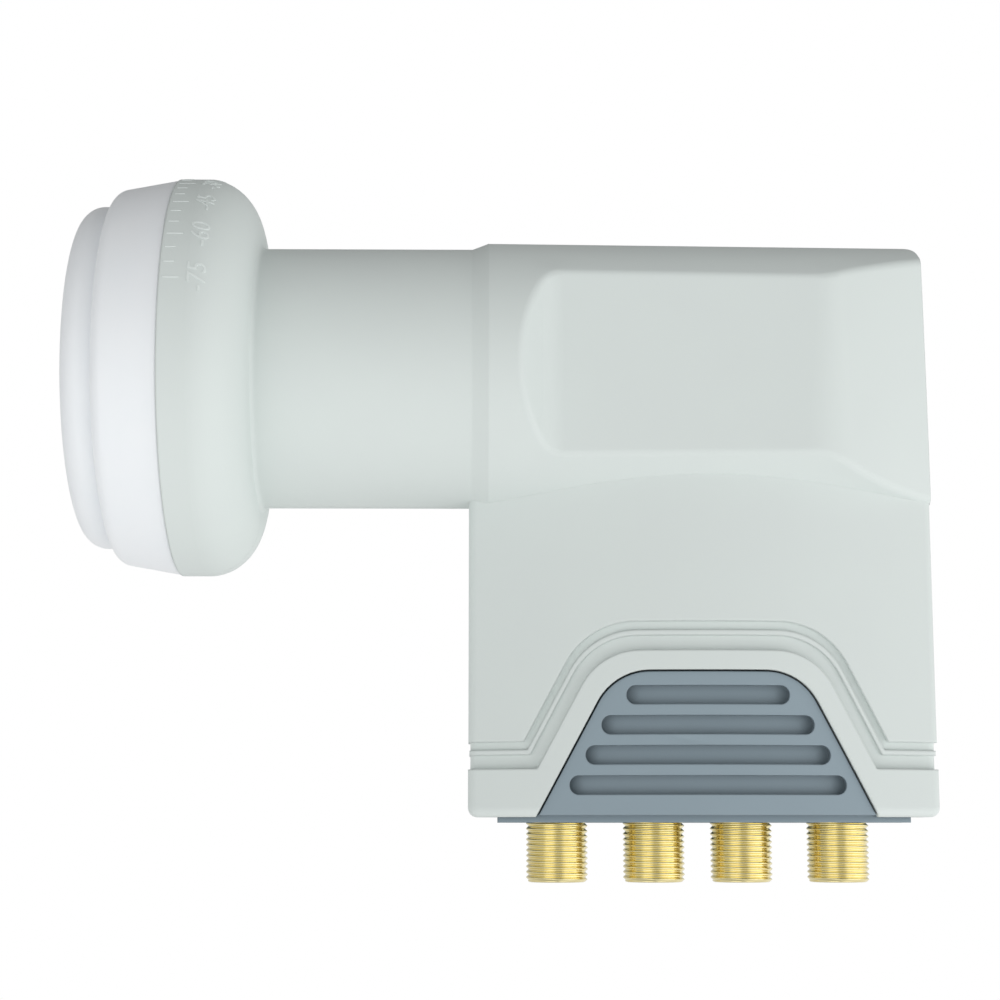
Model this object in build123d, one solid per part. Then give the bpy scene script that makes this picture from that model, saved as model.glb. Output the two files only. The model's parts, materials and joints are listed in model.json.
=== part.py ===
from build123d import *
import os
from math import cos, radians, sin, sqrt, tan

# Satellite low-noise block: a feed horn on a round clamping neck, a casing of two moulded halves,
# a die-cast core with its circuit board, threaded outlets and a weather shield that pulls down
# over them. Millimetres. The origin is the middle of the neck on the feed axis, +X runs away from
# the horn's mouth, +Z is up, the outlets point down and the front half of the casing faces -Y.

# Clearances
slide_gap = 0.3
fit_gap = 0.1
screw_gap = 0.02
pin_gap = 0.05

# Neck and collar
neck_radius = 20.0
neck_length = 32.4
neck_front = -neck_length / 2
neck_back = neck_length / 2
collar_radius = 30.5
collar_length = 12.0
collar_step = 1.5
collar_round = 7.9
collar_root = 0.8
collar_front = neck_front - collar_length
wall = 1.8

# Lower body, a flat box with crowned front and rear faces
box_half_width = 35.05
box_overlap = 0.5
box_centre = neck_back - box_overlap + box_half_width
box_back = box_centre + box_half_width
box_depth = 12.0
box_edge = 4.1
box_bottom = -67.0
box_corner = 2.0
bottom_round = 1.4

# Upper body, a round boss on the feed axis with a flat facet on each side
boss_step_front = 0.9
boss_step_back = 0.3
boss_radius_front = neck_radius + boss_step_front
boss_radius_back = neck_radius + boss_step_back
shoulder_length = 2.4
boss_front = neck_back + shoulder_length
facet_share = 0.785
facet_depth = facet_share * neck_radius
facet_tilt = 2.7
facet_setback = 9.1
facet_start = boss_front + facet_setback
hip_length = 16.3
facet_end = box_back - hip_length
facet_ramp_angle = 50.0
facet_blend = 4.0
hip_share = 0.45
hip_end_depth = hip_share * neck_radius
hip_twist = 12.6
hip_blend = 14.0
rim_round = 1.4
end_round = 3.0
end_lean = 3.6
end_spare = 1.2

# Arched moulding, a groove with a bead that divides the body from the proud bottom band
arch_angle = 28.2
edge_ledge_height = 11.0
edge_top_height = 28.45
edge_margin = 8.15
edge_ledge = box_bottom + edge_ledge_height
edge_top = box_bottom + edge_top_height
edge_foot = box_half_width - edge_margin
edge_round = 11.5
band_ledge_height = 7.0
band_top_height = 24.15
band_margin = 10.15
band_ledge = box_bottom + band_ledge_height
band_top = box_bottom + band_top_height
band_foot = box_half_width - band_margin
band_round = 9.6
band_proud = 0.3
band_side = 0.05
groove_depth = 0.9
groove_side = 0.3
bead_start = 0.3
bead_end = 0.48
bead_height = 0.5

# Arched opening and the weather shield's grip panel
opening_height = 21.3
opening_margin = 9.9
opening_top = box_bottom + opening_height
opening_foot = box_half_width - opening_margin
opening_round = 8.7
panel_gap = 0.28
panel_recess = 0.15
slot_top_first = 19.05
slot_pitch = 4.35
slot_count = 4
slot_height = 2.8
slot_margin = 2.15
slot_first_inset = 13.2
slot_depth = 1.7
slot_end_round = 1.35

# Weather shield
shield_wall = 1.1
shield_height = 32.0
shield_top = box_bottom + shield_height
shield_lip = 0.8
lip_margin = 4.4
lip_half_width = box_half_width - lip_margin
shield_corner = 1.6

# Horn cap
cap_front = 14.75
cap_nose = collar_front - cap_front
cap_edge_drop = 0.15
cap_edge_radius = collar_radius - cap_edge_drop
cap_swell = 7.8
cap_swell_drop = 1.4
cap_swell_radius = cap_edge_radius - cap_swell_drop
cap_step = 9.8
cap_step_drop = 2.45
cap_step_radius = cap_swell_radius - cap_step_drop
cap_disc_drop = 0.2
cap_disc_radius = cap_step_radius - cap_disc_drop
cap_disc_round = 3.1
cap_wall = 1.3
cap_spigot_wall = 1.7
cap_bore_radius = collar_radius - wall - fit_gap - cap_spigot_wall
cap_spigot_length = 3.4

# Outlets, in a row a little towards the neck from the middle of the box
row_shift = 0.75
row_centre = box_centre - row_shift
row_margin = 14.0
outlet_inner = 6.55
outlet_outer = box_half_width - row_margin
outlet_offsets = (-outlet_outer, -outlet_inner, outlet_inner, outlet_outer)
outlet_reach = 9.55
outlet_end = box_bottom - outlet_reach
outlet_radius = 4.6
outlet_chamfer = 0.7
outlet_bore = 3.35
outlet_flange_radius = 5.0
outlet_flange_thick = 1.4
outlet_spigot_radius = 4.2
seal_thick = 0.6
base_thick = 3.5
base_height = 3.0
base_bottom = box_bottom + base_height
base_gap = 0.5
insulator_recess = 0.5
contact_radius = 0.6
contact_hole = 0.35
contact_hole_depth = 7.0

# Feed horn and waveguide
guide_bore = 9.25
guide_radius = 12.0
guide_run = 10.0
guide_wall = 4.0
guide_end = row_centre + guide_run
guide_back = guide_end + guide_wall
seal_wire = 2.76
plate_setback = 3.2
horn_plate_front = collar_front - plate_setback
horn_plate_thick = 2.0
horn_plate_drop = 0.7
horn_plate_radius = cap_bore_radius - horn_plate_drop
horn_ring_count = 4
horn_ring_wall = 1.3
horn_ring_step = 1.45
horn_ring_first = guide_bore + horn_ring_step
horn_ring_last = cap_bore_radius - seal_wire - 2 * screw_gap
horn_ring_rise = 1.75
horn_nose_gap = 1.0

# Circuit tray, lid and board
tray_margin = 3.4
tray_half_width = outlet_outer + tray_margin
tray_clearance = 7.7
tray_front = box_depth - tray_clearance
tray_offset = 1.5
tray_rear = tray_front - tray_offset
tray_overlap = 0.5
tray_bottom = base_bottom + base_thick - tray_overlap
tray_sink = 4.0
tray_top = tray_sink - guide_radius
tray_wall = 1.8
tray_floor = 1.5
pocket_gap = 1.2
pocket_top = -guide_radius - pocket_gap
board_ledge = 2.0
board_thick = 1.2
board_rise = 2.4
board_seat = board_rise - tray_front
board_gap = 0.2
post_radius = 2.1
post_inset = 3.4
gasket_thick = 0.4
lid_thick = 1.2
lid_gap = 0.6
lid_top = -guide_radius - lid_gap
lid_bottom = base_bottom + base_thick + board_gap
screw_radius = 1.0
screw_length = 4.6
screw_head_radius = 1.9
screw_head_height = 1.0
contact_rise = 6.0
contact_top = tray_bottom + contact_rise

# Probes in the waveguide
probe_radius = 0.6
probe_margin = 10.45
probe_spacing = tray_half_width - probe_margin
probe_bent_x = row_centre
probe_straight_x = probe_bent_x - probe_spacing
probe_drop = 2.8
probe_root = pocket_top - probe_drop
probe_tip = -3.0
probe_reach = 6.0
bush_radius = 1.9
rod_x = (probe_straight_x + probe_bent_x) / 2
rod_radius = 0.75

# Board components: x offset as a share of the probes' spacing, drop below the tray's top, length,
# height and thickness
chip_places = (
    (-1.0, 5.3, 2.0, 2.0, 0.8),
    (0.0, 5.3, 2.0, 2.0, 0.8),
    (-0.64, 13.8, 5.0, 5.0, 0.9),
    (0.36, 13.8, 5.0, 5.0, 0.9),
    (-0.14, 25.8, 7.0, 7.0, 0.9),
    (0.93, 22.8, 4.6, 2.2, 1.1),
    (-1.0, 28.8, 4.0, 5.0, 1.5),
    (1.07, 32.8, 4.0, 5.0, 1.5),
)

# Support ribs inside the casing
rib_thick = 2.0
rib_inset = 7.2
rib_place = neck_back - rib_inset
boss_rib_inset = 6.0
boss_rib_x = guide_back - boss_rib_inset

# A length beyond every piece
reach = 200.0


def revolved(points):
    """A solid of revolution about the feed axis from (x, radius) corners."""
    return revolve(Plane.XZ * make_face(Polyline(*points, close=True)), Axis.X)


def ring(radius, bore, start, length):
    """A plain ring on the feed axis."""
    return revolved([(start, bore), (start, radius), (start + length, radius), (start + length, bore)])


def rod_up(radius, x, y, low, high):
    """A round rod along Z."""
    return Pos(x, y, (low + high) / 2) * Cylinder(radius, high - low)


def block(x_span, y_span, z_span):
    """A rectangular block between three pairs of limits."""
    spans = (x_span, y_span, z_span)
    sizes = [high - low for low, high in spans]
    middle = [(low + high) / 2 for low, high in spans]
    return Pos(*middle) * Box(*sizes)


def box_crown():
    """Radius of the lower body's crowned faces."""
    rise = box_depth - box_edge
    return (box_half_width**2 + rise**2) / (2 * rise)


def lens_block(inset, low, high, corner, side=None):
    """The lower body's crowned outline, drawn in by an inset and extruded between two heights."""
    half = box_half_width - (inset if side is None else side)
    deep = box_depth - inset
    crown = box_crown() - inset
    edge = deep - (crown - sqrt(crown**2 - half**2))
    outline = make_face(
        [
            Line((-half, -edge), (-half, edge)),
            ThreePointArc((-half, edge), (0, deep), (half, edge)),
            Line((half, edge), (half, -edge)),
            ThreePointArc((half, -edge), (0, -deep), (-half, -edge)),
        ]
    )
    outline = fillet(outline.vertices(), corner)
    return extrude(Pos(box_centre, 0, low) * outline, high - low)


def facet_outline(height, grow):
    """Outline of the front cut at one height, with the facet's ramp and the hip behind the facet."""
    lean = height * tan(radians(facet_tilt))
    depth = facet_depth + lean
    end_depth = hip_end_depth + height * tan(radians(hip_twist))
    end = box_back + 2 * end_spare
    run = (end - facet_end) / (box_back - facet_end)
    hip_depth = depth - run * (depth - end_depth)
    crest = boss_radius_front + rim_round
    ramp_start = facet_start - (crest - depth) / tan(radians(facet_ramp_angle))
    outside = 2 * boss_radius_front
    outline = make_face(
        Polyline(
            (ramp_start, -crest),
            (facet_start, -depth),
            (facet_end, -depth),
            (end, -hip_depth),
            (end, -outside),
            (ramp_start, -outside),
            close=True,
        )
    )
    for corner, radius in (((facet_start, -depth), facet_blend), ((facet_end, -depth), hip_blend)):
        outline = fillet(outline.vertices().sort_by_distance(corner)[:1], radius)
    if grow:
        outline = offset(outline, grow, kind=Kind.INTERSECTION)
    return Pos(0, 0, height) * outline


def facet_cutter(grow):
    """Front cut that leaves the boss's facet, ramp and twisted hip, grown by a wall for the inside."""
    half = boss_radius_front + rim_round
    return loft([facet_outline(-half, grow), facet_outline(half, grow)], ruled=True)


def boss_form(inset):
    """The upper body with its two facets, drawn in by an inset and left long at its end."""
    boss = revolved(
        [
            (boss_front - inset, 0),
            (boss_front - inset, boss_radius_front - inset),
            (box_back + end_spare, boss_radius_back - inset),
            (box_back + end_spare, 0),
        ]
    )
    cutter = facet_cutter(inset)
    return boss - cutter - mirror(cutter, Plane.XZ)


def end_limit(inset):
    """The space in front of the body's end wall, which leans in above the box and has a round top."""
    top = boss_radius_back - inset
    end = box_back - inset
    lean = 2 * top * tan(radians(end_lean))
    corner = (end - lean, top)
    crest = (0, top + boss_radius_front - boss_radius_back)
    outline = make_face(Polyline((0, -reach), (end, -reach), (end, -top), corner, crest, close=True))
    outline = fillet(outline.vertices().sort_by_distance(corner)[:1], end_round)
    return Pos(0, reach / 2, 0) * extrude(Plane.XZ * outline, reach)


def on_boss(point):
    """Whether a point lies on the boss's round surface in front of its end."""
    share = (point.X - boss_front) / (box_back + end_spare - boss_front)
    radius = boss_radius_front + share * (boss_radius_back - boss_radius_front)
    return abs(sqrt(point.Y**2 + point.Z**2) - radius) < fit_gap


def softened_boss():
    """The upper body with rounded facet rims, left long at its end."""
    boss = boss_form(0)
    rim = [edge for edge in boss.edges().filter_by(GeomType.BSPLINE) if on_boss(edge.position_at(0.5))]
    return fillet(rim, rim_round)


def neck_form(inset):
    """Collar and neck up to the boss's shoulder, drawn in by an inset."""
    start = (collar_front, collar_radius - inset)
    centre = (neck_front - collar_round, neck_radius + collar_step)
    turn = (centre[0], collar_radius - inset)
    landing = (neck_front - inset, centre[1])
    root = (neck_front - inset, neck_radius - inset)
    shoulder = (neck_back, neck_radius - inset)
    boss_edge = (boss_front, boss_radius_front - inset)
    outline = [
        Polyline((boss_front, 0), (collar_front, 0), start, turn),
        EllipticalCenterArc(centre, landing[0] - centre[0], turn[1] - centre[1], arc_size=90),
        Polyline(landing, root, shoulder, boss_edge, (boss_front, 0)),
    ]
    profile = make_face(outline)
    profile = fillet(profile.vertices().sort_by_distance(root)[:1], collar_root)
    return revolve(Plane.XZ * profile, Axis.X)


def below_arch(ledge, top, foot, round_radius, outside):
    """Everything below an arched line, as a slab through the body."""
    rise = (top - ledge) * tan(radians(arch_angle))
    outline = make_face(
        Polyline(
            (-outside, 2 * box_bottom),
            (-outside, ledge),
            (-foot, ledge),
            (-foot + rise, top),
            (foot - rise, top),
            (foot, ledge),
            (outside, ledge),
            (outside, 2 * box_bottom),
            close=True,
        )
    )
    crests = [v for v in outline.vertices() if abs(v.Y - top) < fit_gap]
    outline = fillet(crests, round_radius)
    return Pos(box_centre, reach / 2, 0) * extrude(Plane.XZ * outline, reach)


def moulding(share):
    """The slab below a line that lies between the body's edge (0) and the band's edge (1)."""
    return below_arch(
        edge_ledge + share * (band_ledge - edge_ledge),
        edge_top + share * (band_top - edge_top),
        edge_foot + share * (band_foot - edge_foot),
        edge_round + share * (band_round - edge_round),
        2 * box_half_width,
    )


def opening_slab(shrink):
    """The arched opening of the casing, drawn in by a gap on its top and sides."""
    side = shrink / cos(radians(arch_angle))
    rise = (opening_top - shrink - box_bottom) * tan(radians(arch_angle))
    foot = opening_foot - side
    overrun = -box_bottom * tan(radians(arch_angle))
    outline = make_face(
        Polyline(
            (-foot - overrun, 2 * box_bottom),
            (-foot + rise, opening_top - shrink),
            (foot - rise, opening_top - shrink),
            (foot + overrun, 2 * box_bottom),
            close=True,
        )
    )
    crests = [v for v in outline.vertices() if v.Y > box_bottom]
    outline = fillet(crests, opening_round - shrink)
    return Pos(box_centre, reach / 2, 0) * extrude(Plane.XZ * outline, reach)


def casing_outside():
    """The casing's outer form with its mouldings."""
    box = lens_block(0, box_bottom, 0, box_corner)
    shell = ((softened_boss() + box) & end_limit(0)) + neck_form(0)
    band = lens_block(-band_proud, box_bottom, 0, box_corner, -band_side) & moulding(1)
    band = fillet(band.faces().sort_by(Axis.Z)[0].edges(), bottom_round)
    below_body = block(
        (-reach, reach),
        (-reach, reach),
        (2 * box_bottom, band_ledge),
    )
    shell = shell - (below_body & moulding(1))
    floor = lens_block(groove_depth, 2 * box_bottom, 0, box_corner, groove_side)
    groove = (moulding(0) - moulding(1)) - floor
    crest = lens_block(groove_depth - bead_height, box_bottom, 0, box_corner, groove_side / 2)
    bead = (moulding(bead_start) - moulding(bead_end)) & crest
    return shell - groove + bead + band


def casing_hollows():
    """The spaces in the neck, the upper body and the lower body, open at the mouth and the bottom."""
    return (
        neck_form(wall),
        boss_form(wall) & end_limit(wall),
        lens_block(wall, 2 * box_bottom, 0, box_corner) & end_limit(wall),
    )


def casing_ribs():
    """Ribs that carry the waveguide in the neck and the boss."""
    bore = guide_radius + fit_gap
    ribs = Part()
    for place in (-rib_place, rib_place):
        ribs += ring(neck_radius - wall / 2, bore, place - rib_thick / 2, rib_thick)
    slab = block(
        (boss_rib_x - rib_thick / 2, boss_rib_x + rib_thick / 2),
        (-reach, reach),
        (0, reach),
    )
    boss_rib = (boss_form(wall / 2) & slab) - ring(bore, 0, boss_rib_x - rib_thick, 2 * rib_thick)
    return ribs + boss_rib


def make_casing():
    """Front half of the casing and its mirror image, parted on the plane of the feed axis."""
    front_side = block((-reach, reach), (-reach, 0), (-reach, reach))
    front = casing_outside() & front_side
    for hollow in casing_hollows():
        front -= hollow & front_side
    front = front + (casing_ribs() & front_side) - opening_slab(0)
    return front, mirror(front, Plane.XZ)


def make_shield():
    """The sleeve with a slotted grip panel on each face."""
    outer = wall + slide_gap
    low = box_bottom - shield_lip
    foot = box_bottom + panel_gap
    sleeve = lens_block(outer, foot, shield_top, shield_corner)
    lip_span = (box_centre - lip_half_width, box_centre + lip_half_width)
    sleeve += lens_block(outer, low, foot, shield_corner) & block(lip_span, (-reach, reach), (low, foot))
    panel = lens_block(panel_recess, foot, shield_top, shield_corner) & opening_slab(panel_gap)
    sleeve = sleeve + panel
    for order in range(slot_count):
        top = slot_top(order)
        half = slot_half_length(order)
        slot = fillet(Rectangle(2 * half, slot_height).vertices(), slot_end_round)
        slot_bar = extrude(Plane.XZ * slot, reach)
        slot_bar = Pos(box_centre, reach / 2, top - slot_height / 2) * slot_bar
        sleeve = sleeve - (slot_bar - lens_block(panel_recess + slot_depth, 2 * low, 0, shield_corner))
    return sleeve - lens_block(outer + shield_wall, 2 * low, 0, shield_corner)


def slot_top(order):
    """Height of a grip slot's upper edge."""
    return box_bottom + slot_top_first - order * slot_pitch


def slot_half_length(order):
    """Half the length of a grip slot, kept a margin inside the panel's slanted side."""
    if order == 0:
        return opening_foot - slot_first_inset
    middle = slot_top(order) - slot_height / 2
    side = opening_foot - (middle - box_bottom) * tan(radians(arch_angle))
    return side - slot_margin / cos(radians(arch_angle))


def make_cap():
    """The stepped cap over the horn's mouth, with a spigot inside the collar."""
    step_x = collar_front - cap_step
    swell_x = collar_front - cap_swell
    disc_corner = (cap_nose + cap_disc_round, cap_disc_radius)
    face_edge = (cap_nose, cap_disc_radius - cap_disc_round)
    round_middle = (
        cap_nose + cap_disc_round * (1 - cos(radians(45))),
        cap_disc_radius - cap_disc_round * (1 - sin(radians(45))),
    )
    swell_middle = (
        step_x + (swell_x - step_x) * (1 - cos(radians(45))),
        cap_step_radius + (cap_swell_radius - cap_step_radius) * sin(radians(45)),
    )
    spigot_end = collar_front + cap_spigot_length
    spigot_radius = collar_radius - wall - fit_gap
    nose_bore = cap_disc_radius - cap_wall
    outline = [
        Polyline((cap_nose + cap_wall, 0), (cap_nose, 0), face_edge),
        ThreePointArc(face_edge, round_middle, disc_corner),
        Polyline(disc_corner, (step_x, cap_disc_radius), (step_x, cap_step_radius)),
        ThreePointArc((step_x, cap_step_radius), swell_middle, (swell_x, cap_swell_radius)),
        Polyline(
            (swell_x, cap_swell_radius),
            (collar_front, cap_edge_radius),
            (collar_front, spigot_radius),
            (spigot_end, spigot_radius),
            (spigot_end, cap_bore_radius),
            (step_x + cap_wall, cap_bore_radius),
            (step_x + cap_wall, nose_bore),
            (cap_nose + cap_wall, nose_bore),
            (cap_nose + cap_wall, 0),
        ),
    ]
    return revolve(Plane.XZ * make_face(outline), Axis.X)


def make_cap_seal():
    """Round rubber ring between the horn's rim and the cap."""
    middle = (horn_ring_last + cap_bore_radius) / 2
    seat = horn_plate_front - seal_wire / 2 - screw_gap
    wire = Pos(seat, middle) * Circle(seal_wire / 2)
    return revolve(Plane.XZ * wire, Axis.X)


def make_core():
    """Die-cast core: corrugated horn, waveguide, circuit tray and outlet plate."""
    core = ring(horn_plate_radius, 0, horn_plate_front, horn_plate_thick)
    for order in range(horn_ring_count):
        share = order / (horn_ring_count - 1)
        radius = horn_ring_first + share * (horn_ring_last - horn_ring_first)
        front = cap_nose + cap_wall + horn_nose_gap + (horn_ring_count - 1 - order) * horn_ring_rise
        core += ring(radius, radius - horn_ring_wall, front, horn_plate_front - front)
    core += ring(guide_radius, 0, horn_plate_front, guide_back - horn_plate_front)
    tray_x = (row_centre - tray_half_width, row_centre + tray_half_width)
    core += block(tray_x, (-tray_front, tray_rear), (tray_bottom, tray_top))
    plate_inset = wall + slide_gap + shield_wall + base_gap
    core += lens_block(plate_inset, base_bottom, base_bottom + base_thick, shield_corner)
    core -= tray_pocket()
    for x, z in post_places():
        post = Pos(x, 0, z) * Rot(90, 0, 0) * Cylinder(post_radius, tray_front + tray_rear - tray_floor)
        post = Pos(0, (tray_rear - tray_front + tray_floor) / 2, 0) * post
        core += post
        hole_low = tray_rear + gasket_thick + lid_thick - screw_length - screw_gap
        hole = Pos(x, (tray_rear + hole_low) / 2, z) * Rot(90, 0, 0)
        core -= hole * Cylinder(screw_radius + screw_gap, tray_rear - hole_low)
    core -= ring(guide_bore, 0, 2 * horn_plate_front, guide_end - 2 * horn_plate_front)
    for offset_x in outlet_offsets:
        x = row_centre + offset_x
        core -= rod_up(outlet_spigot_radius + pin_gap, x, 0, 2 * base_bottom, base_bottom + base_thick)
        core -= rod_up(2 * contact_radius, x, 0, base_bottom, tray_bottom + tray_wall + fit_gap)
    for x in (probe_straight_x, probe_bent_x):
        core -= rod_up(bush_radius + pin_gap, x, 0, pocket_top - fit_gap, 0)
    core -= rod_up(rod_radius + screw_gap, rod_x, 0, -guide_radius + rod_radius, guide_radius - rod_radius)
    return core


def tray_pocket():
    """The tray's hollow, stepped to leave a ledge under the board."""
    half = tray_half_width - tray_wall
    low = tray_bottom + tray_wall
    upper = block((row_centre - half, row_centre + half), (board_seat, reach), (low, pocket_top))
    half_low = half - board_ledge
    lower = block(
        (row_centre - half_low, row_centre + half_low),
        (-tray_front + tray_floor, tray_rear),
        (low + board_ledge, pocket_top - board_ledge),
    )
    return upper + lower


def post_places():
    """Places of the lid's screw posts: two up each side of the tray and two between the outlets."""
    side = tray_half_width - tray_wall - post_inset
    between = (outlet_inner + outlet_outer) / 2
    low = tray_bottom + tray_wall + post_inset
    high = pocket_top - post_inset
    half_places = [(between, low), (side, (low + high) / 2), (side, high)]
    return [(row_centre + sign * offset, z) for sign in (-1, 1) for offset, z in half_places]


def make_board():
    """The circuit board, notched round the screw posts."""
    half = tray_half_width - tray_wall - board_gap
    low = tray_bottom + tray_wall + board_gap
    board = block(
        (row_centre - half, row_centre + half),
        (board_seat, board_seat + board_thick),
        (low, pocket_top - board_gap),
    )
    for x, z in post_places():
        board -= Pos(x, 0, z) * Rot(90, 0, 0) * Cylinder(post_radius + board_gap, reach)
    return board


def make_chips():
    """The packages soldered on the board, as a group."""
    face = board_seat + board_thick
    return Compound(
        children=[
            Pos(row_centre + share * probe_spacing, face + thick / 2, pocket_top - drop)
            * Box(length, thick, height)
            for share, drop, length, height, thick in chip_places
        ]
    )


def make_lid_plate(low, high, border):
    """A plate over the tray's rim between two Y values, with an optional open middle."""
    plate = block(
        (row_centre - tray_half_width, row_centre + tray_half_width),
        (low, high),
        (lid_bottom, lid_top),
    )
    if border:
        half = tray_half_width - border
        plate -= block(
            (row_centre - half, row_centre + half),
            (-reach, reach),
            (tray_bottom + border, pocket_top),
        )
    for x, z in post_places():
        plate -= Pos(x, 0, z) * Rot(90, 0, 0) * Cylinder(screw_radius + fit_gap, reach)
    return plate


def make_lid_screws():
    """The lid's screws, as a group."""
    seat = tray_rear + gasket_thick + lid_thick
    screws = []
    for x, z in post_places():
        shank = Pos(x, seat - screw_length / 2, z) * Rot(90, 0, 0) * Cylinder(screw_radius, screw_length)
        head = Pos(x, seat + screw_head_height / 2, z) * Rot(90, 0, 0)
        screws.append(shank + head * Cylinder(screw_head_radius, screw_head_height))
    return Compound(children=screws)


def make_outlet_shell(x):
    """One threaded outlet, drawn at the thread's crest."""
    flange_top = base_bottom - seal_thick
    flange_low = flange_top - outlet_flange_thick
    shell = rod_up(outlet_radius, x, 0, outlet_end, flange_low)
    shell = chamfer(shell.faces().sort_by(Axis.Z)[0].edges(), outlet_chamfer)
    shell += rod_up(outlet_flange_radius, x, 0, flange_low, flange_top)
    shell += rod_up(outlet_spigot_radius, x, 0, flange_top, base_bottom + base_thick)
    return shell - rod_up(outlet_bore, x, 0, 2 * outlet_end, 0)


def make_insulator(x):
    """The white insulator inside one outlet."""
    low = outlet_end + insulator_recess
    body = rod_up(outlet_bore - screw_gap, x, 0, low, base_bottom + base_thick)
    return body - rod_up(contact_radius + screw_gap, x, 0, 2 * low, 0)


def make_contact(x):
    """The centre contact of one outlet, drilled at its mouth and lying on the board at its top."""
    low = outlet_end + 2 * insulator_recess
    pin = rod_up(contact_radius, x, 0, low, contact_top)
    return pin - rod_up(contact_hole, x, 0, low - contact_hole_depth, low + contact_hole_depth)


def make_outlet_seals():
    """Flat rubber washers between the outlets' flanges and the outlet plate, as a group."""
    low = base_bottom - seal_thick
    washers = []
    for offset_x in outlet_offsets:
        x = row_centre + offset_x
        washer = rod_up(outlet_flange_radius, x, 0, low, base_bottom)
        washers.append(washer - rod_up(outlet_spigot_radius + pin_gap, x, 0, low, base_bottom))
    return Compound(children=washers)


def make_straight_probe():
    """The straight probe, from the board into the waveguide."""
    return rod_up(probe_radius, probe_straight_x, 0, probe_root, probe_tip)


def make_bent_probe():
    """The probe that turns across the waveguide."""
    stem = rod_up(probe_radius, probe_bent_x, 0, probe_root, probe_radius)
    arm = Pos(probe_bent_x, -probe_reach / 2, 0) * Rot(90, 0, 0) * Cylinder(probe_radius, probe_reach)
    return stem + arm


def make_bushes():
    """The insulating bushes that hold the probes in the waveguide's wall, as a group."""
    low = -guide_radius
    high = -guide_bore + fit_gap
    return Compound(
        children=[
            rod_up(bush_radius, x, 0, low, high) - rod_up(probe_radius + screw_gap, x, 0, low, high)
            for x in (probe_straight_x, probe_bent_x)
        ]
    )


def make_rod():
    """The rod across the waveguide that keeps the two probes apart electrically."""
    half = guide_radius - rod_radius - fit_gap
    return rod_up(rod_radius, rod_x, 0, -half, half)


casing_front, casing_rear = make_casing()
rim_y = tray_rear + gasket_thick
parts = {
    "casing_front": casing_front,
    "casing_rear": casing_rear,
    "horn_cap": make_cap(),
    "cap_seal": make_cap_seal(),
    "core_casting": make_core(),
    "circuit_board": make_board(),
    "board_chips": make_chips(),
    "screening_lid": make_lid_plate(rim_y, rim_y + lid_thick, 0),
    "lid_gasket": make_lid_plate(tray_rear, rim_y, tray_wall),
    "lid_screws": make_lid_screws(),
    "straight_probe": make_straight_probe(),
    "bent_probe": make_bent_probe(),
    "probe_bushes": make_bushes(),
    "isolation_rod": make_rod(),
    "outlet_seals": make_outlet_seals(),
    "weather_shield": make_shield(),
}
for number, offset_x in enumerate(outlet_offsets, start=1):
    outlet_x = row_centre + offset_x
    parts[f"outlet_shell_{number}"] = make_outlet_shell(outlet_x)
    parts[f"outlet_insulator_{number}"] = make_insulator(outlet_x)
    parts[f"outlet_contact_{number}"] = make_contact(outlet_x)

os.makedirs("parts", exist_ok=True)
for name, shape in parts.items():
    export_step(shape, f"parts/{name}.step")
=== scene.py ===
"""Satellite low-noise block: its finishes, outlet threads, collar scale and studio."""

import json
import logging
import math
from abc import ABC, abstractmethod
from collections.abc import Callable, Iterable, Sequence
from dataclasses import dataclass, field
from enum import Enum
from typing import Any

import bmesh
import bpy
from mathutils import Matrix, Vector


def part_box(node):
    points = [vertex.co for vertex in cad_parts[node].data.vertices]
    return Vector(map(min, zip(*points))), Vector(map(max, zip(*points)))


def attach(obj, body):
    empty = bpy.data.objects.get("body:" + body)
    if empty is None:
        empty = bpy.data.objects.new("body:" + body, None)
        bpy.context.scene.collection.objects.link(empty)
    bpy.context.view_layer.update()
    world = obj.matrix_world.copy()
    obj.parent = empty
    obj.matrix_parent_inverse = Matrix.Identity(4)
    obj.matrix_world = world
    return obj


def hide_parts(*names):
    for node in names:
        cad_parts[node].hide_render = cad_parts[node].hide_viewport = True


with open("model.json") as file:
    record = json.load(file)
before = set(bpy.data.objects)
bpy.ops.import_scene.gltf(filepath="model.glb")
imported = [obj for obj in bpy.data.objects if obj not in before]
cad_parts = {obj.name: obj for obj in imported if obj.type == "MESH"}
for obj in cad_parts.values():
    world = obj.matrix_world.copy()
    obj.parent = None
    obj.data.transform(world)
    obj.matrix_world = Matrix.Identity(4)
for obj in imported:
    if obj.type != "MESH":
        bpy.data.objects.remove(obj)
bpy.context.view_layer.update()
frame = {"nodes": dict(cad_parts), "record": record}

LOG = logging.getLogger("low_noise_block")

Triple = tuple[float, float, float]
Rgba = tuple[float, float, float, float]
Stops = tuple[tuple[float, float], ...]
Faces = list[tuple[int, ...]]

# Units, angles and shares
MM = 0.001
FULL_TURN = 2 * math.pi
SHARP_EDGE = math.radians(60)
RIGHT_ANGLE = 90.0
HALF_CIRCLE = 180.0
MID = 0.5

# The display's colour curve
DISPLAY_PEAK = 255
CURVE_KNEE = 0.04045
CURVE_SLOPE = 12.92
CURVE_OFFSET = 0.055
CURVE_POWER = 2.4

# How many finer layers a noise has, and how finely soft edges are sampled
SMOOTH_DETAIL = 1.0
SOFT_DETAIL = 2.0
FINE_DETAIL = 3.0
BEVEL_SAMPLES = 8

# Sockets that have no name of their own
MIX_MASK = 0
MIX_LOW = 6
MIX_HIGH = 7
MIX_COLOUR = 2
FIRST_INPUT = 0

# What the added pieces ride on, and how many outlets there are
CASING_BODY = "casing"
OUTLET_COUNT = 4


class Slot(Enum):
    """The record's material slot names for the casing plastic and the gold plating."""

    CASING = "casing_plastic"
    GOLD = "gold_plating"


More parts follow.
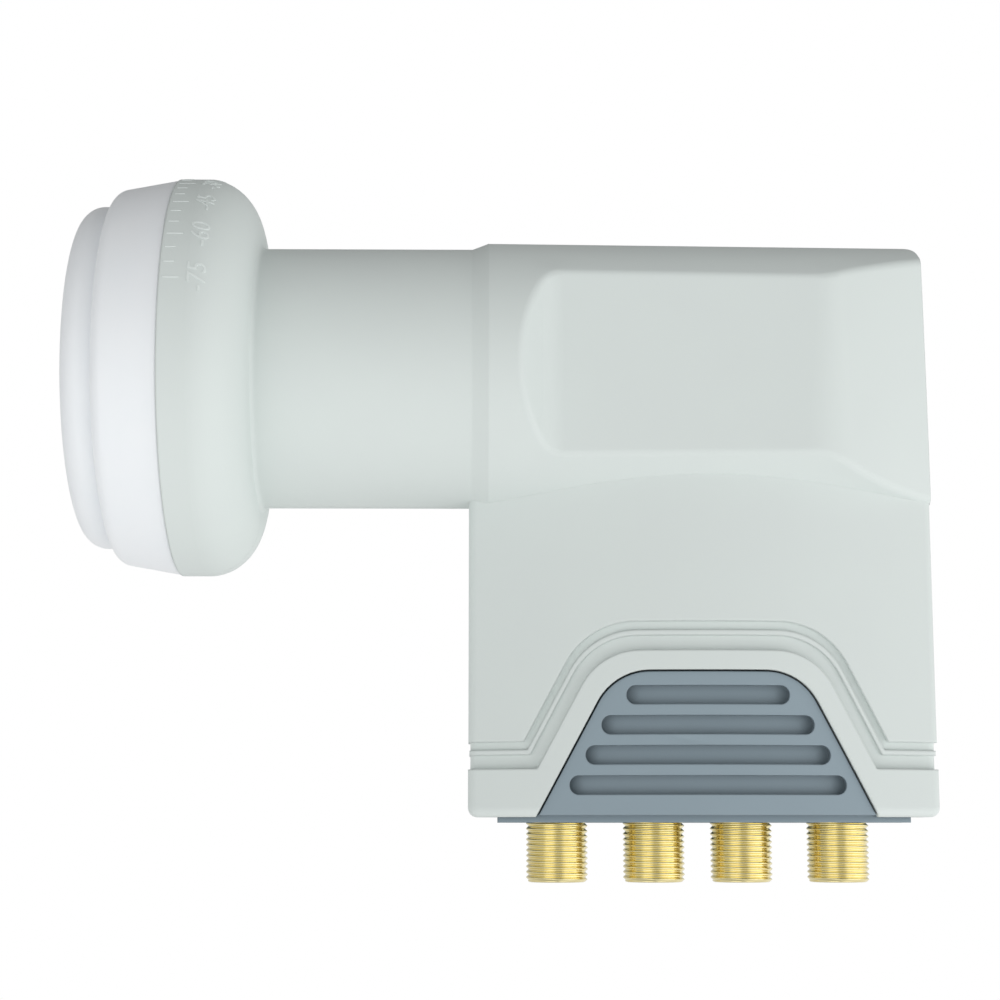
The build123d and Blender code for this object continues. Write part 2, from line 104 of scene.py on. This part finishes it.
class Wire:
    """A shader value that takes part in Python arithmetic; each operator adds a Math node."""

    def __init__(self, sheet: "NodeSheet", socket: bpy.types.NodeSocket) -> None:
        """Keeps the socket and the sheet that new nodes go on."""
        self.sheet = sheet
        self.socket = socket

    def math(self, operation: str, *values: "Value") -> "Wire":
        """Adds a Math node.

        Args:
            operation: the Math node's operation.
            values: numbers or wires for its sockets, in order.

        Returns:
            The node's result.
        """
        return self.sheet.node("ShaderNodeMath", {"operation": operation}, dict(enumerate(values)))

    def __add__(self, other: "Value") -> "Wire":
        """self + other."""
        return self.math("ADD", self, other)

    def __radd__(self, other: "Value") -> "Wire":
        """other + self."""
        return self.math("ADD", other, self)

    def __sub__(self, other: "Value") -> "Wire":
        """self - other."""
        return self.math("SUBTRACT", self, other)

    def __rsub__(self, other: "Value") -> "Wire":
        """other - self."""
        return self.math("SUBTRACT", other, self)

    def __mul__(self, other: "Value") -> "Wire":
        """self * other."""
        return self.math("MULTIPLY", self, other)

    def __rmul__(self, other: "Value") -> "Wire":
        """other * self."""
        return self.math("MULTIPLY", other, self)


Value = float | Sequence[float] | Wire


class NodeSheet:
    """The nodes of one material or world."""

    def __init__(self, owner: bpy.types.Material | bpy.types.World) -> None:
        """Starts from an empty tree.

        Args:
            owner: what the nodes belong to.
        """
        owner.use_nodes = True
        self.tree = owner.node_tree
        self.tree.nodes.clear()

    def node(
        self,
        kind: str,
        settings: dict[str, Any] | None = None,
        inputs: dict[str | int, Value] | None = None,
        output: str | int = 0,
    ) -> Wire:
        """Adds any node.

        Args:
            kind: the node's type.
            settings: its properties, and a ramp's stops as (place, level) pairs; set first.
            inputs: values or wires for its sockets.
            output: the socket to return.

        Returns:
            The chosen output.
        """
        made = self.tree.nodes.new(kind)
        for name, value in (settings or {}).items():
            if name == "stops":
                self._set_stops(made.color_ramp, value)
            else:
                setattr(made, name, value)
        for key, value in (inputs or {}).items():
            if isinstance(value, Wire):
                self.tree.links.new(value.socket, made.inputs[key])
            else:
                made.inputs[key].default_value = value
        return Wire(self, made.outputs[output])

    @staticmethod
    def _set_stops(ramp: bpy.types.ColorRamp, stops: Stops) -> None:
        """Gives a ramp its stops.

        Args:
            ramp: the ramp, which starts with two stops.
            stops: (place, level) pairs, with both from 0 to 1.
        """
        while len(ramp.elements) < len(stops):
            ramp.elements.new(MID)
        for element, (place, level) in zip(ramp.elements, stops):
            element.position = place
            element.color = (level, level, level, 1.0)

    def mix(self, mask: Value, low: Value, high: Value) -> Wire:
        """A colour between two colours by a mask."""
        inputs = {MIX_MASK: mask, MIX_LOW: low, MIX_HIGH: high}
        return self.node("ShaderNodeMix", {"data_type": "RGBA"}, inputs, output=MIX_COLOUR)

    def blend(self, mask: Wire, first: Wire, second: Wire) -> Wire:
        """A shader between two shaders by a mask."""
        return self.node("ShaderNodeMixShader", None, dict(enumerate((mask, first, second))))

    def shaded(self, tint: Wire, shade: float, reach: float) -> Wire:
        """A colour with painted shade: it darkens inside narrow recesses, where walls are near.

        Args:
            tint: the colour in the open.
            shade: how far the painted shade darkens it, from 0 to 1.
            reach: how near a recess's walls are, in millimetres.

        Returns:
            The colour.
        """
        inputs = {"Distance": reach * MM}
        # painted shade: ambient occlusion darkens the base colour where a recess's walls are near
        openness = self.node("ShaderNodeAmbientOcclusion", None, inputs, output="AO")
        return self.mix(shade * (1 - openness), tint, BLACK)

    def noise(self, grain: float, detail: float = SOFT_DETAIL) -> Wire:
        """Soft noise from 0 to 1, in the piece's own frame.

        Args:
            grain: the size of its lumps in millimetres.
            detail: how many finer layers it has.

        Returns:
            The noise value.
        """
        where = self.node("ShaderNodeTexCoord", output="Object")
        inputs = {"Vector": where, "Scale": 1 / (grain * MM), "Detail": detail}
        return self.node("ShaderNodeTexNoise", None, inputs)

    def relief(self, height: Wire, depth: float, edge_radius: float) -> Wire:
        """A surface normal with fine relief and softened edges.

        Args:
            height: the relief, from 0 to 1.
            depth: the height of its full range in millimetres.
            edge_radius: how far the solid's sharp edges are softened, in millimetres.

        Returns:
            The normal.
        """
        soft = self.node("ShaderNodeBevel", {"samples": BEVEL_SAMPLES}, {"Radius": edge_radius * MM})
        inputs = {"Height": height, "Distance": depth * MM, "Strength": 1.0, "Normal": soft}
        return self.node("ShaderNodeBump", None, inputs)

    def surface(self, inputs: dict[str, Value]) -> None:
        """Ends the sheet in one shader with these sockets set."""
        shader = self.node("ShaderNodeBsdfPrincipled", None, inputs)
        self.node_output("ShaderNodeOutputMaterial", shader)

    def node_output(self, kind: str, shader: Wire) -> None:
        """Ends the sheet in an output node."""
        made = self.tree.nodes.new(kind)
        self.tree.links.new(shader.socket, made.inputs["Surface"])


def srgb(red: int, green: int, blue: int) -> Rgba:
    """A linear colour from display values.

    Args:
        red: its red, from 0 to 255.
        green: its green.
        blue: its blue.

    Returns:
        The colour, with full alpha.
    """

    def linear(level: int) -> float:
        """One channel on the linear scale."""
        share = level / DISPLAY_PEAK
        if share <= CURVE_KNEE:
            return share / CURVE_SLOPE
        return ((share + CURVE_OFFSET) / (1 + CURVE_OFFSET)) ** CURVE_POWER

    return (linear(red), linear(green), linear(blue), 1.0)


WHITE = srgb(255, 255, 255)
BLACK = srgb(0, 0, 0)


@dataclass(frozen=True)
class Finish(ABC):
    """A look: a colour, the colour of its blotches and whatever a kind of finish adds.

    Grain, blotch, cloud and ripple sizes, depths and radii are in millimetres.
    """

    name: str
    colour: Rgba
    mottle: Rgba

    def material(self) -> bpy.types.Material:
        """Builds the material.

        Returns:
            The material.
        """
        made = bpy.data.materials.new(self.name)
        sheet = NodeSheet(made)
        sheet.surface(self.sockets(sheet))
        return made

    @abstractmethod
    def sockets(self, sheet: NodeSheet) -> dict[str, Value]:
        """What the shader's sockets take."""


@dataclass(frozen=True)
class MouldedPlastic(Finish):
    """A moulded plastic with a fine eroded texture; it can carry painted shade inside narrow recesses.
    """

    roughness: float = 0.52
    sheen_spread: float = 0.08
    grain: float = 0.16
    grain_depth: float = 0.012
    cloud: float = 9.6
    edge_radius: float = 0.5
    # painted shade in narrow recesses: how far it darkens the colour, and how near the walls are
    recess_shade: float = 0.0
    recess_reach: float = 2.0
    ior: float = 1.46
    specular: float = 0.35

    def sockets(self, sheet: NodeSheet) -> dict[str, Value]:
        """What the shader's sockets take.

        Args:
            sheet: the material's nodes.

        Returns:
            Values by socket name.
        """
        grain = sheet.noise(self.grain, FINE_DETAIL)
        tint = sheet.mix(sheet.noise(self.cloud), self.colour, self.mottle)
        # painted shade in recesses, for finishes that ask for it
        if self.recess_shade:
            tint = sheet.shaded(tint, self.recess_shade, self.recess_reach)
        return {
            "Base Color": tint,
            "Roughness": self.roughness + self.sheen_spread * (grain - MID),
            "Normal": sheet.relief(grain, self.grain_depth, self.edge_radius),
            "IOR": self.ior,
            "Specular IOR Level": self.specular,
        }


@dataclass(frozen=True)
class CapPlastic(Finish):
    """The smooth, slightly translucent white of the horn's cap."""

    roughness: float = 0.34
    sheen_spread: float = 0.06
    ripple: float = 1.6
    ripple_depth: float = 0.006
    cloud: float = 7.0
    edge_radius: float = 0.35
    scatter: float = 0.25
    scatter_depth: float = 2.0
    scatter_radii: Triple = (1.0, 1.0, 1.0)
    ior: float = 1.49

    def sockets(self, sheet: NodeSheet) -> dict[str, Value]:
        """What the shader's sockets take.

        Args:
            sheet: the material's nodes.

        Returns:
            Values by socket name.
        """
        ripple = sheet.noise(self.ripple, SMOOTH_DETAIL)
        cloud = sheet.noise(self.cloud)
        return {
            "Base Color": sheet.mix(cloud, self.colour, self.mottle),
            "Roughness": self.roughness + self.sheen_spread * (cloud - MID),
            "Normal": sheet.relief(ripple, self.ripple_depth, self.edge_radius),
            "Subsurface Weight": self.scatter,
            "Subsurface Radius": self.scatter_radii,
            "Subsurface Scale": self.scatter_depth * MM,
            "IOR": self.ior,
        }


@dataclass(frozen=True)
class PlatedMetal(Finish):
    """A metal with a mottled tint and fine tool marks."""

    roughness: float
    blotch: float
    ripple: float
    ripple_depth: float
    edge_radius: float = 0.08
    sheen_spread: float = 0.16

    def sockets(self, sheet: NodeSheet) -> dict[str, Value]:
        """What the shader's sockets take.

        Args:
            sheet: the material's nodes.

        Returns:
            Values by socket name.
        """
        blotch = sheet.noise(self.blotch, FINE_DETAIL)
        ripple = sheet.noise(self.ripple)
        return {
            "Base Color": sheet.mix(blotch, self.colour, self.mottle),
            "Metallic": 1.0,
            "Roughness": self.roughness + self.sheen_spread * (blotch - MID),
            "Normal": sheet.relief(ripple, self.ripple_depth, self.edge_radius),
        }


@dataclass(frozen=True)
class PlainMoulding(Finish):
    """Rubber, laminate or insulator: a dull piece with a little colour variation."""

    roughness: float
    grain: float = 0.6
    grain_depth: float = 0.01
    edge_radius: float = 0.1
    sheen_spread: float = 0.1

    def sockets(self, sheet: NodeSheet) -> dict[str, Value]:
        """What the shader's sockets take.

        Args:
            sheet: the material's nodes.

        Returns:
            Values by socket name.
        """
        grain = sheet.noise(self.grain, FINE_DETAIL)
        return {
            "Base Color": sheet.mix(grain, self.colour, self.mottle),
            "Roughness": self.roughness + self.sheen_spread * (grain - MID),
            "Normal": sheet.relief(grain, self.grain_depth, self.edge_radius),
        }


CASING_PLASTIC = MouldedPlastic("casing_plastic", srgb(219, 227, 224), srgb(217, 224, 222))
# a lighter copy of the casing plastic: painted highlight on the raised ticks and numbers
SCALE_PLASTIC = MouldedPlastic(
    "scale_plastic",
    srgb(228, 235, 233),
    srgb(226, 233, 231),
    grain_depth=0.004,
    edge_radius=0.04,
)
SHIELD_PLASTIC = MouldedPlastic(
    "shield_plastic",
    srgb(147, 163, 172),
    srgb(144, 160, 169),
    roughness=0.48,
    edge_radius=0.3,
    # painted shade darkens the grip panel's slots and grooves
    recess_shade=0.6,
)
CAP_PLASTIC = CapPlastic("cap_plastic", srgb(247, 251, 254), srgb(242, 247, 251))
GOLD_PLATING = PlatedMetal(
    "gold_plating",
    srgb(246, 235, 184),
    srgb(234, 218, 158),
    roughness=0.16,
    blotch=1.1,
    ripple=0.35,
    ripple_depth=0.005,
)
CAST_METAL = PlatedMetal(
    "cast_metal",
    srgb(184, 186, 188),
    srgb(175, 178, 181),
    roughness=0.5,
    blotch=0.7,
    ripple=0.4,
    ripple_depth=0.02,
    sheen_spread=0.06,
)
LID_METAL = PlatedMetal(
    "lid_metal",
    srgb(205, 207, 209),
    srgb(184, 187, 190),
    roughness=0.34,
    blotch=2.5,
    ripple=0.5,
    ripple_depth=0.01,
)
SCREW_STEEL = PlatedMetal(
    "screw_steel",
    srgb(176, 178, 182),
    srgb(148, 151, 156),
    roughness=0.3,
    blotch=0.8,
    ripple=0.3,
    ripple_depth=0.008,
)
SEAL_RUBBER = PlainMoulding("seal_rubber", srgb(46, 47, 49), srgb(58, 59, 61), roughness=0.72)
BOARD_LAMINATE = PlainMoulding(
    "board_laminate", srgb(28, 98, 62), srgb(22, 84, 52), roughness=0.38, grain=2.0
)
CHIP_PLASTIC = PlainMoulding("chip_plastic", srgb(34, 34, 36), srgb(44, 44, 47), roughness=0.55)
INSULATOR_PLASTIC = PlainMoulding(
    "insulator_plastic", srgb(240, 238, 230), srgb(230, 228, 219), roughness=0.5
)


def numbered(stem: str) -> list[str]:
    """The names of the nodes that every outlet has one of."""
    return [f"{stem}_{number}" for number in range(1, OUTLET_COUNT + 1)]


def dress(names: Iterable[str], material: bpy.types.Material) -> None:
    """Gives CAD nodes one material.

    Args:
        names: the nodes' names.
        material: what every face of them takes.
    """
    for name in names:
        mesh = frame["nodes"][name].data
        mesh.materials.clear()
        mesh.materials.append(material)
        LOG.info("dressed %s in %s", name, material.name)


def add_piece(
    name: str, corners: list[Vector], faces: Faces, material: bpy.types.Material
) -> bpy.types.Object:
    """Makes a smooth mesh piece.

    Args:
        name: the piece's name.
        corners: its vertices in metres, in the part's frame.
        faces: its faces, as vertex numbers.
        material: its finish.

    Returns:
        The new object.
    """
    mesh = bpy.data.meshes.new(name)
    mesh.from_pydata(corners, [], faces)
    mesh.materials.append(material)
    mesh.shade_smooth()
    mesh.set_sharp_from_angle(angle=SHARP_EDGE)
    piece = bpy.data.objects.new(name, mesh)
    bpy.context.scene.collection.objects.link(piece)
    LOG.info("built %s with %d faces", name, len(faces))
    return piece


def tube_faces(rings: int, columns: int, looped: bool, first: int = 0) -> Faces:
    """The faces of a tube of rings.

    Args:
        rings: how many rings it has.
        columns: how many corners a ring has.
        looped: whether its last ring meets its first.
        first: the number of its first corner.

    Returns:
        The faces, as corner numbers.
    """
    faces = []
    for ring in range(rings if looped else rings - 1):
        near = first + ring * columns
        far = first + (ring + 1) % rings * columns
        for column in range(columns):
            beside = (column + 1) % columns
            faces.append((near + column, near + beside, far + beside, far + column))
    return faces


@dataclass
class Outlets:
    """The threaded gold outlets, one piece each, in place of the plain shells."""

    pitch: float = 0.794
    thread_depth: float = 0.32
    bore_radius: float = 3.35
    spigot_radius: float = 4.2
    flange_thick: float = 1.4
    chamfer: float = 0.45
    lip_round: float = 0.12
    columns: int = 128
    rows_per_turn: int = 14

    def build(self) -> None:
        """Builds and dresses every outlet."""
        material = GOLD_PLATING.material()
        for node in numbered("outlet_shell"):
            piece = self._shell(node, material)
            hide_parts(node)
            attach(piece, CASING_BODY)
        dress(numbered("outlet_contact"), material)

    def _crest_radius(self, node: str) -> float:
        """The thread's crest radius from the record's mount, in millimetres."""
        mount = node.replace("_shell", "")
        return next(m["dims"]["r_mm"] for m in frame["record"]["mounts"] if m["name"] == mount)

    def _thread_reach(self, crest: float, z: float, rise: float, share: float) -> float:
        """The thread's radius at one place, trimmed by the chamfer at its start.

        Args:
            crest: the crest's radius in millimetres.
            z: the height in the part's frame in millimetres.
            rise: the height above the outlet's mouth in millimetres.
            share: the place round the outlet, as a share of a turn.

        Returns:
            The radius in millimetres.
        """
        wave = math.cos(FULL_TURN * (z / self.pitch + share))
        reach = crest - self.thread_depth * (1 - wave) / 2
        return min(reach, crest - self.chamfer + rise)

    def _profile(self, low: Vector, high: Vector, crest: float) -> list[tuple[float, float, bool]]:
        """The outlet's closed section.

        Args:
            low: the plain shell's lowest corner in millimetres.
            high: its highest corner.
            crest: the thread's crest radius in millimetres.

        Returns:
            (radius, height, whether the thread cuts it) for every row.
        """
        flange_radius = (high.x - low.x) / 2
        flange_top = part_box("outlet_seals")[0].z / MM
        flange_low = flange_top - self.flange_thick
        rows = round((flange_low - low.z) / self.pitch * self.rows_per_turn)
        threaded = [
            (crest, low.z + (flange_low - low.z) * row / rows, True) for row in range(1, rows + 1)
        ]
        return [
            (self.bore_radius, high.z, False),
            (self.bore_radius, low.z + self.lip_round, False),
            (self.bore_radius + self.lip_round, low.z, False),
            (crest - self.chamfer - self.lip_round, low.z, False),
            *threaded,
            (flange_radius, flange_low, False),
            (flange_radius, flange_top, False),
            (self.spigot_radius, flange_top, False),
            (self.spigot_radius, high.z, False),
        ]

    def _shell(self, node: str, material: bpy.types.Material) -> bpy.types.Object:
        """One outlet as a closed turned form with its thread.

        Args:
            node: the plain shell that it stands for.
            material: its finish.

        Returns:
            The outlet.
        """
        low, high = (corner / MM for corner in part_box(node))
        centre = (low + high) / 2
        crest = self._crest_radius(node)
        profile = self._profile(low, high, crest)
        corners = []
        for radius, z, threaded in profile:
            for column in range(self.columns):
                share = column / self.columns
                reach = self._thread_reach(crest, z, z - low.z, share) if threaded else radius
                angle = FULL_TURN * share
                spot = (centre.x + reach * math.cos(angle), centre.y + reach * math.sin(angle), z)
                corners.append(Vector(spot) * MM)
        faces = tube_faces(len(profile), self.columns, looped=True)
        return add_piece(node.replace("shell", "thread"), corners, faces, material)


@dataclass
class CollarScale:
    """The raised skew scale round the top of the collar.

    The scale's steps and angles are in degrees, its other sizes in millimetres.
    """

    step: int = 5
    label_step: int = 15
    limit: int = 75
    zero_angle: float = 1.0
    tick_gap: float = 0.55
    tick_width: float = 0.28
    tick_top_share: float = 0.7
    short_tick: float = 1.5
    long_tick: float = 2.35
    label_gap: float = 1.0
    label_height: float = 2.7
    label_slant: float = 0.16
    digit_share: float = 0.7
    stroke_offset: float = -0.03
    edge_bevel: float = 0.015
    raise_height: float = 0.055
    sink: float = 0.05
    collar_length: float = 12.0
    collar_round: float = 7.9
    collar_drop: float = 9.0
    tick_steps: int = 6
    label_strips: int = 9
    curve_steps: int = 4
    front: float = field(init=False)
    radius: float = field(init=False)

    def __post_init__(self) -> None:
        """Reads the collar's front and radius from its solid."""
        low, high = (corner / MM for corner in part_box("casing_front"))
        self.front = low.x
        self.radius = high.z

    def build(self) -> None:
        """Builds the ticks and numbers as one piece."""
        corners: list[Vector] = []
        faces: Faces = []
        for value in range(-self.limit, self.limit + 1, self.step):
            long = value % self.label_step == 0
            self._tick(value, self.long_tick if long else self.short_tick, corners, faces)
            if long:
                self._label(value, corners, faces)
        piece = add_piece("collar_scale", corners, faces, SCALE_PLASTIC.material())
        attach(piece, CASING_BODY)

    def _surface_radius(self, x: float) -> float:
        """The collar's radius at a place along the feed axis.

        Args:
            x: the place in millimetres.

        Returns:
            The radius in millimetres.
        """
        turn = self.front + self.collar_length - self.collar_round
        if x <= turn:
            return self.radius
        share = (x - turn) / self.collar_round
        return self.radius - self.collar_drop * (1 - math.sqrt(1 - share**2))

    def _spot(self, x: float, angle: float, lift: float) -> Vector:
        """A point above the collar; the angle runs from the top over the rear."""
        reach = self._surface_radius(x) + lift
        return Vector((x, reach * math.sin(angle), reach * math.cos(angle))) * MM

    def _tick(self, value: int, length: float, corners: list[Vector], faces: Faces) -> None:
        """Adds one tick.

        Args:
            value: its angle on the scale in degrees.
            length: its length along the feed axis in millimetres.
            corners: vertices to add to.
            faces: faces to add to.
        """
        start = self.front + self.tick_gap
        middle = math.radians(value + self.zero_angle)
        half = self.tick_width / 2 / self.radius
        first = len(corners)
        section = (
            (1.0, -self.sink),
            (self.tick_top_share, self.raise_height),
            (-self.tick_top_share, self.raise_height),
            (-1.0, -self.sink),
        )
        for row in range(self.tick_steps + 1):
            x = start + length * row / self.tick_steps
            for side, lift in section:
                corners.append(self._spot(x, middle + side * half, lift))
        width = len(section)
        last = first + self.tick_steps * width
        faces.extend(tube_faces(self.tick_steps + 1, width, looped=False, first=first))
        faces.append(tuple(first + column for column in reversed(range(width))))
        faces.append(tuple(last + column for column in range(width)))

    def _flat_number(self, value: int) -> bpy.types.Mesh:
        """One number as a flat raised mesh in millimetres, standing on the X axis.

        Args:
            value: the number.

        Returns:
            The mesh.
        """
        text = bpy.data.curves.new("scale_number", "FONT")
        text.body = str(value)
        text.align_x = "CENTER"
        text.size = self.label_height / self.digit_share
        text.shear = self.label_slant
        text.extrude = self.raise_height
        text.offset = self.stroke_offset
        text.bevel_depth = self.edge_bevel
        text.resolution_u = self.curve_steps
        holder = bpy.data.objects.new("scale_number", text)
        bpy.context.scene.collection.objects.link(holder)
        bpy.context.view_layer.update()
        shaped = holder.evaluated_get(bpy.context.evaluated_depsgraph_get())
        flat = bpy.data.meshes.new_from_object(shaped)
        bpy.data.objects.remove(holder)
        bpy.data.curves.remove(text)
        return flat

    def _label(self, value: int, corners: list[Vector], faces: Faces) -> None:
        """Adds one number, reading along the scale with its top towards the cap.

        It is cut into strips first, so that it can follow the collar's curve.

        Args:
            value: the number.
            corners: vertices to add to.
            faces: faces to add to.
        """
        flat = self._flat_number(value)
        strips = bmesh.new()
        strips.from_mesh(flat)
        bpy.data.meshes.remove(flat)
        for strip in range(1, self.label_strips):
            everything = [*strips.verts, *strips.edges, *strips.faces]
            level = Vector((0.0, self.label_height * strip / self.label_strips, 0.0))
            bmesh.ops.bisect_plane(strips, geom=everything, plane_co=level, plane_no=(0.0, 1.0, 0.0))
        strips.verts.index_update()
        foot = self.front + self.tick_gap + self.long_tick + self.label_gap + self.label_height
        middle = math.radians(value + self.zero_angle)
        first = len(corners)
        for vertex in strips.verts:
            along, up, lift = vertex.co
            corners.append(self._spot(foot - up, middle + along / self.radius, lift))
        faces.extend(tuple(first + vertex.index for vertex in face.verts) for face in strips.faces)
        strips.free()


@dataclass
class Housing:
    """The casing's halves, the horn's cap and the weather shield, as the solids give them."""

    def build(self) -> None:
        """Dresses the outer pieces and adds the collar's scale."""
        dress(("casing_front", "casing_rear"), CASING_PLASTIC.material())
        dress(("horn_cap",), CAP_PLASTIC.material())
        dress(("weather_shield",), SHIELD_PLASTIC.material())
        CollarScale().build()


@dataclass
class InnerWorks:
    """What the casing encloses, dressed for the views that reach inside."""

    def build(self) -> None:
        """Dresses the core, the board, the seals and the probes."""
        dress(("straight_probe", "bent_probe"), GOLD_PLATING.material())
        dress(("core_casting",), CAST_METAL.material())
        dress(("screening_lid",), LID_METAL.material())
        dress(("lid_screws", "isolation_rod"), SCREW_STEEL.material())
        dress(("cap_seal", "lid_gasket", "outlet_seals"), SEAL_RUBBER.material())
        dress(("circuit_board",), BOARD_LAMINATE.material())
        dress(("board_chips",), CHIP_PLASTIC.material())
        dress((*numbered("outlet_insulator"), "probe_bushes"), INSULATOR_PLASTIC.material())


@dataclass
class Studio:
    """A white room: a bright table in front, a soft box on each side, a dim ceiling and the camera.

    Light levels are stops over the azimuth in degrees, from the front over +X, or over the sine of
    the elevation. The eye and the floor's drop are in millimetres, the floor's size in metres.
    """

    eye: Triple = (16.68, -313.37, -68.49)
    tilt: float = 9.0
    yaw: float = -0.69
    lens: float = 74.4
    near_clip: float = 0.01
    floor_drop: float = 96.0
    floor_size: float = 12.0
    light_peak: float = 1.7
    table_level: float = 0.6
    table_turn: Stops = (
        (-180, 0.26),
        (-75, 0.53),
        (-15, 0.9),
        (20, 1.0),
        (75, 0.95),
        (180, 0.26),
    )
    table_rise: Stops = ((-1.0, 0.75), (-0.4, 1.0), (-0.1, 0.88), (0.35, 0.23), (0.65, 0.0))
    box_level: float = 1.2
    box_turn: Stops = (
        (-180, 0.52),
        (-110, 0.44),
        (-60, 0.44),
        (-44, 0.88),
        (-20, 0.88),
        (-4, 0.27),
        (14, 0.22),
        (32, 0.8),
        (60, 1.0),
        (90, 1.0),
        (125, 0.65),
        (180, 0.52),
    )
    box_rise: Stops = (
        (-1.0, 0.5),
        (-0.55, 0.8),
        (-0.15, 1.0),
        (0.1, 0.9),
        (0.65, 0.46),
        (1.0, 0.33),
    )

    def build(self) -> None:
        """Sets up the floor, the world and the camera."""
        self._floor()
        self._world()
        self._camera()
        view = bpy.context.scene.view_settings
        view.view_transform = "Standard"
        view.look = "None"

    def _floor(self) -> None:
        """A plain white table, clear from below, that lets the room's light through to the part."""
        half = self.floor_size / 2
        z = -self.floor_drop * MM
        outline = ((-half, -half), (half, -half), (half, half), (-half, half))
        corners = [Vector((x, y, z)) for x, y in outline]
        made = bpy.data.materials.new("floor_white")
        sheet = NodeSheet(made)
        white = sheet.node("ShaderNodeEmission", None, {"Color": WHITE})
        clear = sheet.node("ShaderNodeBsdfTransparent")
        below = sheet.node("ShaderNodeNewGeometry", output="Backfacing")
        sheet.node_output("ShaderNodeOutputMaterial", sheet.blend(below, white, clear))
        floor = add_piece("floor", corners, [tuple(range(len(corners)))], made)
        floor.visible_diffuse = False
        floor.visible_glossy = False
        floor.visible_transmission = False
        floor.visible_shadow = False

    @staticmethod
    def _levels(sheet: NodeSheet, stops: Stops, span: float, value: Wire) -> Wire:
        """Light levels along one direction of the room.

        Args:
            sheet: the world's nodes.
            stops: (place, level) pairs, with places from -span to span.
            span: the largest place.
            value: the place to read, as a share from 0 to 1.

        Returns:
            The level there.
        """
        shares = tuple((MID + place / (2 * span), level) for place, level in stops)
        return sheet.node("ShaderNodeValToRGB", {"stops": shares}, {FIRST_INPUT: value})

    def _world(self) -> None:
        """White to the eye; its light comes from the table and the soft boxes."""
        world = bpy.data.worlds.new("studio")
        bpy.context.scene.world = world
        sheet = NodeSheet(world)
        direction = sheet.node("ShaderNodeTexCoord", output="Generated")
        across, back, up = (
            sheet.node("ShaderNodeSeparateXYZ", None, {"Vector": direction}, output=axis)
            for axis in ("X", "Y", "Z")
        )
        turn = MID + across.math("ARCTAN2", across, 0 - back) * (1 / FULL_TURN)
        rise = MID + up * MID
        table = self._levels(sheet, self.table_turn, HALF_CIRCLE, turn)
        table = table * self._levels(sheet, self.table_rise, 1.0, rise)
        boxes = self._levels(sheet, self.box_turn, HALF_CIRCLE, turn)
        boxes = boxes * self._levels(sheet, self.box_rise, 1.0, rise)
        level = table * self.table_level + boxes * self.box_level
        dark = sheet.node("ShaderNodeBackground", None, {"Strength": 0.0})
        bright = sheet.node("ShaderNodeBackground", None, {"Color": WHITE, "Strength": self.light_peak})
        light = sheet.blend(level * (1 / self.light_peak), dark, bright)
        white = sheet.node("ShaderNodeBackground", None, {"Color": WHITE})
        seen_by_eye = sheet.node("ShaderNodeLightPath", output="Is Camera Ray")
        sheet.node_output("ShaderNodeOutputWorld", sheet.blend(seen_by_eye, light, white))

    def _camera(self) -> None:
        """The photograph's viewpoint."""
        camera = bpy.data.cameras.new("camera")
        camera.lens = self.lens
        camera.clip_start = self.near_clip
        holder = bpy.data.objects.new("camera", camera)
        holder.location = Vector(self.eye) * MM
        holder.rotation_euler = (math.radians(RIGHT_ANGLE + self.tilt), 0.0, math.radians(self.yaw))
        bpy.context.scene.collection.objects.link(holder)
        bpy.context.scene.camera = holder


def main() -> None:
    """Builds every sub-assembly in order."""
    logging.basicConfig(level=logging.INFO, format="%(message)s")
    builders: Sequence[Callable[[], None]] = (
        Housing().build,
        Outlets().build,
        InnerWorks().build,
        Studio().build,
    )
    for build in builders:
        build()
    bpy.context.view_layer.update()


if __name__ == "__main__":
    main()
